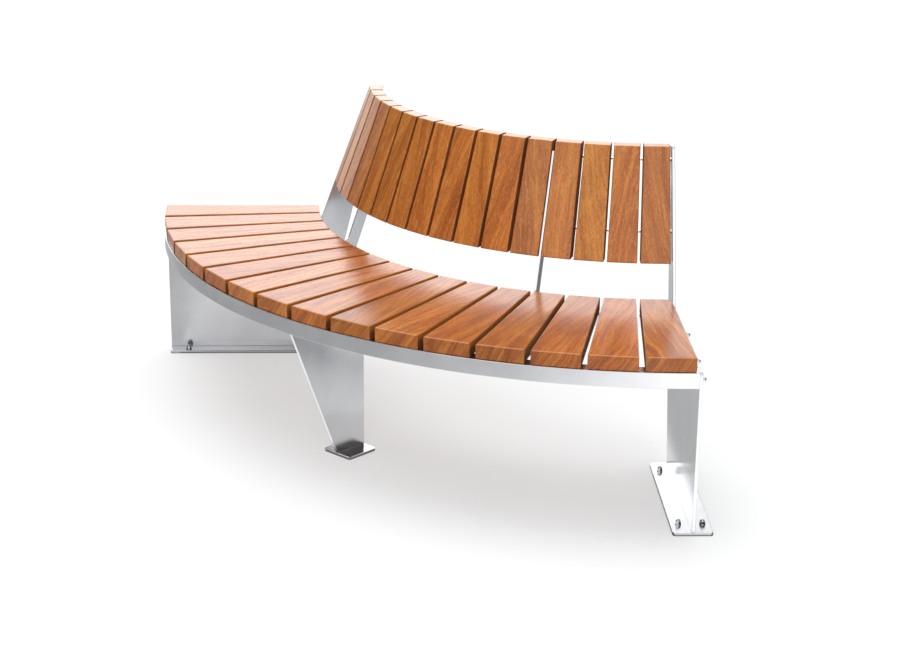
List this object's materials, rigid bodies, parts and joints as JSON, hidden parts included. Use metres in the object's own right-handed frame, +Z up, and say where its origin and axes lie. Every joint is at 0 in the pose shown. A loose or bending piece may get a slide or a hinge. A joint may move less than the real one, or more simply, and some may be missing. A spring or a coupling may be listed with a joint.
{
  "type": "modular bench",
  "caption": "Quarter-ring outdoor bench module with tapered hardwood seat and back slats on steel rails, plate end frames and a centre leg, bolted to the floor and to the next module.",
  "frame": {"origin": "on the floor, midway under the whole module", "axes": "+Z up; seen from above the seat is a quarter of a ring about a point at +X +Y, its left end faces +Y and its right end faces +X, and people sit facing -X and -Y"},
  "size_m": [1.458, 1.458, 0.827],
  "materials": {
    "hardwood": "oiled, satin",
    "frame_steel": "satin",
    "fastener_steel": "polished"
  },
  "bodies": {
    "root": {"anchor_nuts": "fastener_steel", "anchor_studs": "fastener_steel", "anchor_washers": "fastener_steel", "back_slat_01": "hardwood", "back_slat_02": "hardwood", "back_slat_03": "hardwood", "back_slat_04": "hardwood", "back_slat_05": "hardwood", "back_slat_06": "hardwood", "back_slat_07": "hardwood", "back_slat_08": "hardwood", "back_slat_09": "hardwood", "back_slat_10": "hardwood", "back_slat_11": "hardwood", "back_slat_12": "hardwood", "back_slat_13": "hardwood", "back_slat_14": "hardwood", "back_slat_15": "hardwood", "back_slat_16": "hardwood", "back_slat_screws": "fastener_steel", "centre_base_plate": "frame_steel", "centre_leg": "frame_steel", "front_seat_rail": "frame_steel", "joining_bolts": "fastener_steel", "joining_nuts": "fastener_steel", "joining_washers": "fastener_steel", "left_back_support": "frame_steel", "left_base_plate": "frame_steel", "left_cross_bar": "frame_steel", "left_end_frame": "frame_steel", "lower_back_rail": "frame_steel", "rear_seat_rail": "frame_steel", "right_back_support": "frame_steel", "right_base_plate": "frame_steel", "right_cross_bar": "frame_steel", "right_end_frame": "frame_steel", "seat_slat_01": "hardwood", "seat_slat_02": "hardwood", "seat_slat_03": "hardwood", "seat_slat_04": "hardwood", "seat_slat_05": "hardwood", "seat_slat_06": "hardwood", "seat_slat_07": "hardwood", "seat_slat_08": "hardwood", "seat_slat_09": "hardwood", "seat_slat_10": "hardwood", "seat_slat_11": "hardwood", "seat_slat_12": "hardwood", "seat_slat_13": "hardwood", "seat_slat_14": "hardwood", "seat_slat_15": "hardwood", "seat_slat_16": "hardwood", "seat_slat_screws": "fastener_steel", "upper_back_rail": "frame_steel"}
  },
  "joints": []
}
